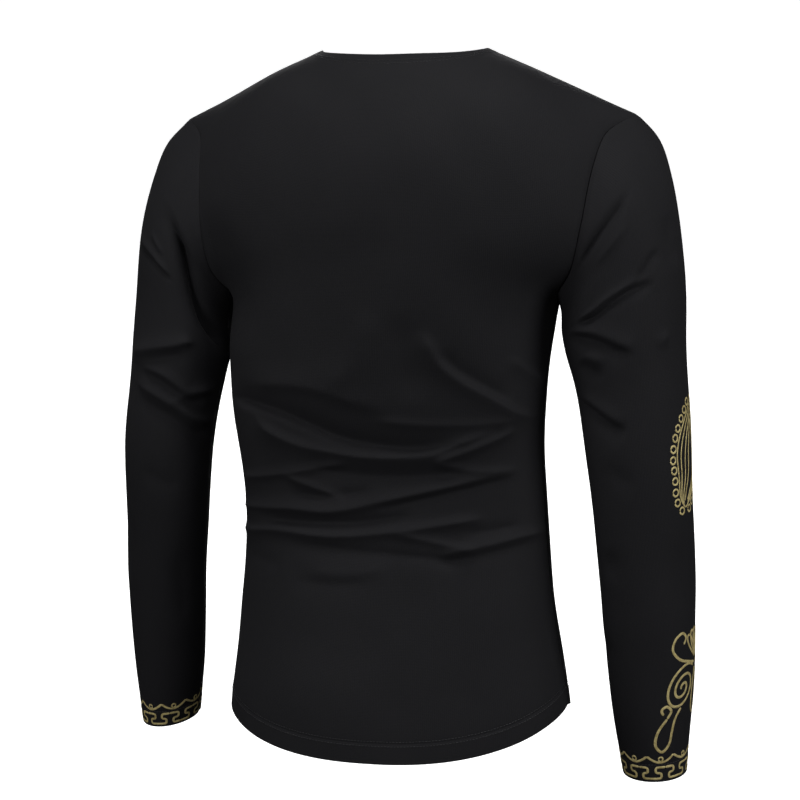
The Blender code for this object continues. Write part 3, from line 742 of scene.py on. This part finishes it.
def cloth_thickness(to_hem):
    return CLOTH + (HEM_CLOTH - CLOTH) * soft(1.5 - to_hem / HEM_DEPTH)


class Skin:
    """A grid of outer points with its normals, read at any place between them."""

    def __init__(self, points, normals, row_keys, column_keys, is_round):
        grid = np.concatenate([points, normals], -1)
        if is_round:
            grid = np.concatenate([grid, grid[:, :1]], 1)
            column_keys = np.append(column_keys, 360)
        self.points, self.grid = points, grid
        self.row_keys, self.column_keys = row_keys, column_keys

    def at(self, rows, columns):
        """Points of the skin at the given row and column keys, and the normals there."""
        r = np.interp(rows, self.row_keys, np.arange(len(self.row_keys)))
        c = np.interp(columns, self.column_keys, np.arange(len(self.column_keys)))
        r0 = np.clip(r.astype(int), 0, len(self.row_keys) - 2)
        c0 = np.clip(c.astype(int), 0, len(self.column_keys) - 2)
        fr, fc = (r - r0)[..., None], (c - c0)[..., None]
        low = self.grid[r0, c0] * (1 - fc) + self.grid[r0, c0 + 1] * fc
        high = self.grid[r0 + 1, c0] * (1 - fc) + self.grid[r0 + 1, c0 + 1] * fc
        found = low * (1 - fr) + high * fr
        return found[..., :3], unit(found[..., 3:])


def make_object(name, points, faces, material, uv=None):
    mesh = bpy.data.meshes.new(name)
    mesh.from_pydata(points.tolist(), [], faces)
    mesh.shade_smooth()
    if uv is not None:
        layer = mesh.uv_layers.new(name="cloth")
        corners = np.empty(len(mesh.loops), int)
        mesh.loops.foreach_get("vertex_index", corners)
        layer.data.foreach_set("uv", uv[corners].ravel())
    mesh.materials.append(material)
    thing = bpy.data.objects.new(name, mesh)
    bpy.context.scene.collection.objects.link(thing)
    return thing


def cloth_places(outer):
    """Flat metres across and along the cloth at each grid point, for its knit."""
    across = lengths(outer, 1).mean(0)
    along = lengths(outer).mean(1)
    return np.stack(np.meshgrid(across, along), -1).reshape(-1, 2)


def grid_faces(index):
    """Four-sided faces between the rows and columns of a grid of indices."""
    corners = (index[:-1, :-1], index[:-1, 1:], index[1:, 1:], index[1:, :-1])
    return np.stack(corners, -1).reshape(-1, 4)


def add_wall(name, outer, inner, is_round, material):
    """Join an outer and an inner skin along their edges into one thin shell."""
    rows, columns = outer.shape[:2]
    index = np.arange(rows * columns).reshape(rows, columns)
    uv = cloth_places(outer)
    if is_round:
        index = np.column_stack([index, index[:, 0]])
        edges = [index[0], index[-1]]
    else:
        loop = [index[0], index[1:, -1], index[-1, -2::-1], index[-2::-1, 0]]
        edges = [np.concatenate(loop)]
    quads = grid_faces(index)
    first = quads[len(quads) // 2]
    flat = outer.reshape(-1, 3)
    facing = np.cross(flat[first[1]] - flat[first[0]], flat[first[3]] - flat[first[0]])
    if facing @ (outer - inner).reshape(-1, 3)[first[0]] < 0:
        quads = quads[:, ::-1]
        edges = [edge[::-1] for edge in edges]
    count = rows * columns
    faces = [*quads.tolist(), *(quads[:, ::-1] + count).tolist()]
    for edge in edges:
        faces += [(int(b), int(a), int(a) + count, int(b) + count) for a, b in zip(edge, edge[1:])]
    points = np.concatenate([flat, inner.reshape(-1, 3)])
    return make_object(name, points, faces, material, np.concatenate([uv, uv]))


def panel_wall(name, is_back, material):
    """Cloth of the back or front, and its outer skin."""
    outer, across, (at_armhole, at_shoulder), to_hem = folded_panel(is_back)
    sign = -1 if is_back else 1
    normals = outward_normals(outer, sign, False)
    inward = -normals.copy()
    depth_axis = np.array([0, 1, 0])
    angles = seam_angles(at_armhole, at_shoulder) * (1 if is_back else -1)
    for column, side in ((0, -1), (-1, 1)):
        seam = np.gradient(outer[:, column], axis=0)
        inward[:, column] = -side * unit(np.cross(depth_axis, seam))
        own = -normals[-len(angles) :, column]
        inward[-len(angles) :, column] = shared_inward(own, angles, side)
    on_shoulder = np.abs(across) >= NECK_SHARE - ON_EDGE
    on_shoulder[[0, -1]] = False
    down = unit(np.cross(np.gradient(outer[-1], axis=0), depth_axis))[on_shoulder]
    inward[-1, on_shoulder] = -down * np.sign(down[:, 2:])
    inner = outer + inward * cloth_thickness(to_hem)[..., None]
    skins = []
    for skin in (outer, inner):
        skin = skin.copy()
        skin[-1, on_shoulder] = part_from_seam(skin[-1, on_shoulder], skin[-2, on_shoulder])
        for column, beside in ((0, 1), (-1, -2)):
            skin[:, column] = part_from_seam(skin[:, column], skin[:, beside])
        skins.append(skin)
    wall = add_wall(name, *skins, False, material)
    return wall, Skin(outer, normals, np.arange(len(outer)), np.arange(len(across)), False)


def sleeve_wall(name, is_left, material):
    """Cloth of a sleeve, its outer skin, and each row's distance from the cuff."""
    outer, angles, shares, to_cuff = folded_sleeve(is_left)
    normals = outward_normals(outer, -1 if is_left else 1, True)
    inward = -normals.copy()
    inward[0] = shared_inward(inward[0], angles, 1 if is_left else -1)
    inner = outer + inward * cloth_thickness(to_cuff)[..., None]
    for skin in (outer, inner):
        skin[0] = part_from_seam(skin[0], skin[1])
    wall = add_wall(name, outer, inner, True, material)
    return wall, Skin(outer, normals, shares, angles, True), to_cuff[:, 0]


def even_steps(points, pitch):
    """Places between a line's points at even steps along its length."""
    length = lengths(points)
    at = np.arange(pitch / 2, length[-1], pitch)
    return np.interp(at, length, np.arange(len(points)))


def stitches(points, normals):
    """Short raised thread lengths along a line over the cloth."""
    at = even_steps(points, STITCH_PITCH)
    low = np.clip(at.astype(int), 0, len(points) - 2)
    part = (at - low)[:, None]
    centre = points[low] * (1 - part) + points[low + 1] * part
    along = unit(points[low + 1] - points[low])
    up = unit(normals[low])
    side = np.cross(up, along)
    shape = []
    for share, size in STITCH_RINGS:
        for turn in np.arange(STITCH_SIDES) * 2 * math.pi / STITCH_SIDES:
            width = math.cos(turn) * size * STITCH_WIDTH / 2
            height = (math.sin(turn) * size + STITCH_LIFT) * STITCH_HEIGHT
            shape.append(centre + along * share * STITCH_LENGTH + side * width + up * height)
    index = np.arange(len(centre) * len(shape)).reshape(-1, len(STITCH_RINGS), STITCH_SIDES)
    faces = []
    for rings in index.tolist():
        for ring, following in zip(rings, rings[1:]):
            for j in range(STITCH_SIDES):
                k = (j + 1) % STITCH_SIDES
                faces.append((ring[j], ring[k], following[k], following[j]))
        faces += [tuple(rings[0][::-1]), tuple(rings[-1])]
    return np.stack(shape, 1).reshape(-1, 3), faces


def join(parts):
    points, faces, start = [], [], 0
    for part_points, part_faces in parts:
        points.append(part_points)
        faces += [tuple(start + i for i in face) for face in part_faces]
        start += len(part_points)
    return np.concatenate(points), faces


def panel_stitches(skin):
    """Two lines of stitches round a panel's hem and two along its neckline."""
    across, *_ = panel_shares()
    hem_columns = np.arange(1, len(across) - 1)
    neck_columns = np.flatnonzero(np.abs(across) < NECK_SHARE + ON_EDGE)
    lines = []
    for columns, depth, order in ((hem_columns, HEM_DEPTH, 1), (neck_columns, NECK_HEM_DEPTH, -1)):
        grid = lengths(skin.points[::order])
        for distance in (depth - TWIN_NEEDLE_GAP / 2, depth + TWIN_NEEDLE_GAP / 2):
            rows = [np.interp(distance, grid[:, c], skin.row_keys[::order]) for c in columns]
            lines.append(stitches(*skin.at(np.array(rows), columns.astype(float))))
    return lines


def cuff_stitches(skin, to_cuff):
    """One line of stitches round a cuff."""
    angles = np.linspace(0, 360, 121)
    share = np.interp(-CUFF_HEM_DEPTH, -to_cuff, skin.row_keys)
    return [stitches(*skin.at(np.full(len(angles), share), angles))]


def ribbon(skin, rows, angles, width):
    """A low rounded line of print along a path on a sleeve."""
    path, normals = skin.at(rows, np.mod(angles, 360))
    at = lengths(path)
    steps = np.linspace(0, at[-1], max(int(at[-1] / PRINT_STEP), 4) + 1)
    rows = np.interp(steps, at, rows)
    angles = np.interp(steps, at, angles)
    path, normals = skin.at(rows, np.mod(angles, 360))
    along = unit(np.gradient(path, axis=0))
    side = np.cross(normals, along)
    to_end = np.minimum(steps, steps[-1] - steps)
    round_end = np.sqrt(np.clip(1 - (1 - np.clip(to_end / (width / 2), 0, 1)) ** 2, 0.02, 1))
    sections = []
    for share, lift in PRINT_SECTION:
        offset = (share * width / 2 * round_end)[:, None]
        sections.append(path + side * offset + normals * (lift * PRINT_LIFT))
    count = len(steps)
    index = np.arange(len(sections) * count).reshape(count, -1)
    return np.stack(sections, 1).reshape(-1, 3), grid_faces(index).tolist()


class Printer:
    """Draws lines of print on a sleeve."""

    def __init__(self, skin, to_cuff, is_left):
        self.skin, self.to_cuff, self.is_left = skin, to_cuff, is_left
        self.parts = []

    def line(self, across, along, width):
        if self.is_left:
            across = across - LEFT_PRINT_FORWARD - LEFT_PRINT_TURN * (along - LEFT_PRINT_PIVOT)
        share = along / MM / SLEEVE_LENGTH
        radius = np.array([self.radius(one) for one in share])
        angles = np.degrees(across / MM / radius)
        self.parts.append(ribbon(self.skin, share, angles, width))

    def radius(self, share):
        _, half_width, half_depth = sleeve_ring(share, self.is_left)
        return (np.linalg.norm(half_width) + np.linalg.norm(half_depth)) / 2

    def border(self, across, height, width):
        """Height is measured from the cuff's edge, and the border's units fill the whole turn."""
        turn = across / (BORDER_UNITS * BORDER_PITCH) * 360
        share = np.interp(-height / MM, -self.to_cuff, self.skin.row_keys)
        self.parts.append(ribbon(self.skin, share, turn, width))


def oval(across, along, half_width, half_height, count=17):
    turn = np.linspace(0, 2 * math.pi, count)
    return across + half_width * np.cos(turn), along + half_height * np.sin(turn)


def leaf_edge(side, scale, count):
    """One side of a pointed leaf or of its echo line, from its tip near the cuff to its top."""
    share = np.linspace(-1 + 0.22 * (1 - scale), 1, count)
    t = -1 + (share + 1) * (1 - 0.21 * (1 - scale))
    bulge = np.cos(share * math.pi / 2) ** 0.85 * (1 - 0.05 * share)
    bend = 2.0 - 16.0 * soft((-t - 0.1) / 0.9) ** 1.5
    return side * LEAF_HALF_WIDTH * scale * bulge - bend, LEAF_MIDDLE - t * LEAF_HEIGHT / 2


def print_leaf(printer):
    """Pointed leaf with echo lines and a fringe of rings, on the outside of the elbow."""
    for scale in LEAF_ECHOES:
        for side in (-1, 1):
            printer.line(*leaf_edge(side, scale, 40), LEAF_LINE)
    for side in (-1, 1):
        edge = np.stack(leaf_edge(side, 1.0, 120), -1)
        out = np.stack([-np.gradient(edge[:, 1]), np.gradient(edge[:, 0])], -1) * side
        centres = edge + unit(out) * LEAF_RING_OFFSET
        for place in even_steps(centres, LEAF_RING_PITCH):
            ring = oval(*centres[int(place)], LEAF_RING_RADIUS, LEAF_RING_RADIUS)
            printer.line(*ring, LEAF_LINE * 1.1)


def spiral():
    """Spiral of a scroll, stretched along the sleeve and leaning with it."""
    turn = np.linspace(0.3, SPIRAL_TURNS * 2 * math.pi, 100)
    size = SPIRAL_RADIUS[0] + SPIRAL_RADIUS[1] * (turn / turn[-1]) ** 1.1
    rise = size * 1.30 * np.sin(0.9 - turn)
    across = SPIRAL_MIDDLE[0] + size * 1.10 * np.cos(0.9 - turn) + 0.25 * rise
    return across, SPIRAL_MIDDLE[1] + rise


def petal(lean, along, length, half_width):
    """Narrow drop-shaped loop that starts at a point and leans from the armhole's side."""
    turn = np.linspace(0, 2 * math.pi, 41)
    out = length * (1 - np.cos(turn)) / 2
    wide = half_width * np.sin(turn) * np.sin(turn / 2) * 1.3
    across = out * math.sin(lean) + wide * math.cos(lean)
    return across, along - out * math.cos(lean) + wide * math.sin(lean)


def print_scroll(printer):
    """Mirrored pair of scrolls with a small flower between them, above the cuff."""
    paths = [spiral()]
    for points, count in ((SCROLL_HOOK, 40), (SCROLL_TAIL, 40), (SCROLL_CURL, 24)):
        paths.append(smooth_line(points, count).T)
    for side in (-1, 1):
        for across, along in paths:
            printer.line(side * across, along, SCROLL_LINE)
    for lean in PETAL_LEANS:
        printer.line(*petal(math.radians(lean), 546, 27, 3.8), BORDER_LINE)
    printer.line(*petal(math.pi, 556, 44, 5.5), BORDER_LINE)


def rounded_corners(points, radius):
    """Points of a line whose corners are turned with the given radius."""
    out = [points[0]]
    for before, corner, after in zip(points, points[1:], points[2:]):
        start = corner + unit(before - corner) * radius
        end = corner + unit(after - corner) * radius
        for t in np.linspace(0, 1, 7):
            out.append((1 - t) ** 2 * start + 2 * t * (1 - t) * corner + t * t * end)
    out.append(points[-1])
    return np.array(out)


def print_cuff_border(printer):
    """Meander of rounded steps with a scalloped line of arcs and small rings above it."""
    low, middle, high = BORDER_LEVELS
    levels = (high, high, middle, middle, low, low, middle, middle, high, high)
    steps = rounded_corners(np.stack([BORDER_TURNS, levels], -1), BORDER_CORNER)
    share = np.linspace(0, 1, 31)
    scallop = SCALLOP_LEVEL + SCALLOP_RISE * np.abs(2 * share - 1) ** 1.8
    dots = oval(BORDER_PITCH / 2, BORDER_RING_LEVEL, *BORDER_RING)
    for start in np.arange(BORDER_UNITS) * BORDER_PITCH:
        printer.border(start + steps[:, 0], steps[:, 1], BORDER_LINE)
        printer.border(start + share * BORDER_PITCH, scallop, BORDER_LINE)
        printer.border(start + dots[0], dots[1], BORDER_LINE * 0.7)


def sleeve_print(skin, to_cuff, is_left):
    """All lines of a sleeve's print."""
    printer = Printer(skin, to_cuff, is_left)
    print_leaf(printer)
    print_scroll(printer)
    print_cuff_border(printer)
    return printer.parts


def set_values(made, values):
    """Set a node's inputs, or else its properties, by their names."""
    for name, value in values.items():
        if name in made.inputs:
            made.inputs[name].default_value = value
        else:
            setattr(made, name, value)


def node(tree, kind, **values):
    made = tree.nodes.new(kind)
    set_values(made, values)
    return made


def new_material(name, **values):
    material = bpy.data.materials.new(name)
    material.use_nodes = True
    shader = material.node_tree.nodes["Principled BSDF"]
    set_values(shader, values)
    return material, material.node_tree, shader


def speckle(tree, **values):
    """Noise over the piece in metres."""
    place = node(tree, "ShaderNodeTexCoord")
    noise = node(tree, "ShaderNodeTexNoise", **values)
    tree.links.new(place.outputs["Object"], noise.inputs["Vector"])
    return noise.outputs["Fac"]


def ribs(tree, direction, scale, distortion):
    """Even rows or columns of the knit."""
    place = node(tree, "ShaderNodeTexCoord")
    wave = node(tree, "ShaderNodeTexWave", bands_direction=direction, Scale=scale, Distortion=distortion)
    wave.inputs["Detail Scale"].default_value = 40.0
    tree.links.new(place.outputs["UV"], wave.inputs["Vector"])
    return wave.outputs["Fac"]


def combined(tree, operation, first, second):
    both = node(tree, "ShaderNodeMath", operation=operation)
    tree.links.new(first, both.inputs[0])
    tree.links.new(second, both.inputs[1])
    return both.outputs[0]


def between(tree, value, low, high):
    """Amount from 0 to 1 for a value from low to high."""
    amount = node(tree, "ShaderNodeMapRange", **{"From Min": low, "From Max": high})
    tree.links.new(value, amount.inputs["Value"])
    return amount.outputs["Result"]


def tint(tree, shader, first, second, amount):
    colour = node(tree, "ShaderNodeMix", data_type="RGBA")
    colour.inputs[6].default_value = (*first, 1)
    colour.inputs[7].default_value = (*second, 1)
    tree.links.new(amount, colour.inputs[0])
    tree.links.new(colour.outputs[2], shader.inputs["Base Color"])


def emboss(tree, shader, height, strength, distance):
    bump = node(tree, "ShaderNodeBump", Strength=strength, Distance=distance)
    tree.links.new(height, bump.inputs["Height"])
    tree.links.new(bump.outputs["Normal"], shader.inputs["Normal"])


def jersey(name, seed):
    """Matte black knit: fine wales and courses, a soft nap and slight fading."""
    material, tree, shader = new_material(f"jersey_{name}", Roughness=0.78, IOR=1.35)
    set_values(shader, {"Specular IOR Level": 0.30, "Sheen Weight": 0.01, "Sheen Roughness": 0.45})
    fading = speckle(tree, noise_dimensions="4D", W=seed, Scale=7.0, Detail=5.0)
    fibre = speckle(tree, noise_dimensions="4D", W=seed, Scale=900.0, Detail=3.0)
    faded = between(tree, combined(tree, "MULTIPLY", fading, fibre), 0.12, 0.42)
    tint(tree, shader, BLACK, FADED_BLACK, faded)
    knit = combined(tree, "MULTIPLY", ribs(tree, "X", 175.0, 0.6), ribs(tree, "Y", 230.0, 0.8))
    emboss(tree, shader, combined(tree, "ADD", knit, fibre), 0.35, 0.00025)
    return material


def gold_print():
    """Khaki gold ink, thinner and darker where the knit shows through it."""
    material, tree, shader = new_material("gold_print", Roughness=0.52, Metallic=0.25)
    wear = speckle(tree, Scale=260.0, Detail=6.0, Roughness=0.7)
    tint(tree, shader, DEEP_GOLD, GOLD, between(tree, wear, 0.34, 0.56))
    emboss(tree, shader, wear, 0.3, 0.0002)
    return material


def thread():
    """Black sewing thread with a slight twist and shine."""
    material, tree, shader = new_material("black_thread", Roughness=0.5)
    tint(tree, shader, BLACK, THREAD_SHINE, speckle(tree, Scale=1400.0, Detail=2.0))
    return material


def dress():
    """Build the cloth, its sewing and its print, and tie each piece to the frame."""
    walls = {
        "back": panel_wall("cloth_back", True, jersey("back", 1.0)),
        "front": panel_wall("cloth_front", False, jersey("front", 2.0)),
        "sleeve_left": sleeve_wall("cloth_sleeve_left", True, jersey("left", 3.0)),
        "sleeve_right": sleeve_wall("cloth_sleeve_right", False, jersey("right", 4.0)),
    }
    sewn, gold = thread(), gold_print()
    for name, (cloth, skin, *to_cuff) in walls.items():
        sewing = cuff_stitches(skin, *to_cuff) if to_cuff else panel_stitches(skin)
        with_pieces = [make_object(f"stitches_{name}", *join(sewing), sewn)]
        if to_cuff:
            printed = sleeve_print(skin, *to_cuff, name == "sleeve_left")
            with_pieces.append(make_object(f"print_{name}", *join(printed), gold))
        for piece in (cloth, *with_pieces):
            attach(piece, "root")
        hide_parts(name)


def add_floor():
    """Plain pale floor that sweeps up into a pale backdrop."""
    profile = [(FLOOR_NEAR, 0.0), (FLOOR_FAR, 0.0)]
    for turn in np.linspace(0, math.pi / 2, 13)[1:]:
        rise = BACKDROP_SWEEP * (1 - math.cos(turn))
        profile.append((FLOOR_FAR + BACKDROP_SWEEP * math.sin(turn), rise))
    profile.append((FLOOR_FAR + BACKDROP_SWEEP, BACKDROP_TOP))
    azimuth = math.radians(CAMERA_AZIMUTH)
    ahead = np.array([-math.sin(azimuth), math.cos(azimuth)])
    aside = np.array([ahead[1], -ahead[0]])
    points = []
    for side in (-FLOOR_HALF_WIDTH, FLOOR_HALF_WIDTH):
        for forward, height in profile:
            x, y = ahead * forward + aside * side
            points.append((x, y, FLOOR_HEIGHT + height))
    count = len(profile)
    faces = [(i + count, i + 1 + count, i + 1, i) for i in range(count - 1)]
    material, tree, shader = new_material("pale_floor", Roughness=0.9)
    set_values(shader, {"Emission Color": (1.0, 1.0, 1.0, 1.0), "Emission Strength": 0.7})
    patches = node(tree, "ShaderNodeTexNoise", Scale=2.0, Detail=2.0)
    tint(tree, shader, *FLOOR_COLOURS, patches.outputs["Fac"])
    floor = make_object("floor", np.array(points), faces, material)
    floor.visible_diffuse = False
    floor.visible_glossy = False


def add_light(name, place, size, watts):
    data = bpy.data.lights.new(name, "AREA")
    data.shape = "DISK"
    data.size = size
    data.energy = watts
    light = bpy.data.objects.new(name, data)
    bpy.context.scene.collection.objects.link(light)
    light.location = place
    aim_at(light, CAMERA_TARGET)


def aim_at(thing, target):
    direction = np.array(target) - np.array(thing.location)
    flat = math.hypot(direction[0], direction[1])
    pitch = math.pi / 2 + math.atan2(direction[2], flat)
    heading = math.atan2(direction[1], direction[0]) - math.pi / 2
    thing.rotation_euler = (pitch, 0, heading)


def add_camera():
    azimuth, elevation = math.radians(CAMERA_AZIMUTH), math.radians(CAMERA_ELEVATION)
    level = math.cos(elevation)
    back = np.array((math.sin(azimuth) * level, -math.cos(azimuth) * level, math.sin(elevation)))
    data = bpy.data.cameras.new("camera")
    data.lens = CAMERA_LENS
    data.sensor_width = 36.0
    camera = bpy.data.objects.new("camera", data)
    bpy.context.scene.collection.objects.link(camera)
    camera.location = np.array(CAMERA_TARGET) + back * CAMERA_DISTANCE
    aim_at(camera, CAMERA_TARGET)
    bpy.context.scene.camera = camera


def add_surroundings():
    world = bpy.data.worlds.new("studio")
    world.use_nodes = True
    background = world.node_tree.nodes["Background"]
    background.inputs["Color"].default_value = (1.0, 1.0, 1.0, 1.0)
    background.inputs["Strength"].default_value = 1.0
    world.cycles_visibility.diffuse = False
    world.cycles_visibility.glossy = False
    bpy.context.scene.world = world
    bpy.context.scene.view_settings.view_transform = "Standard"
    for light in LIGHTS:
        add_light(*light)


dress()
add_floor()
add_surroundings()
add_camera()
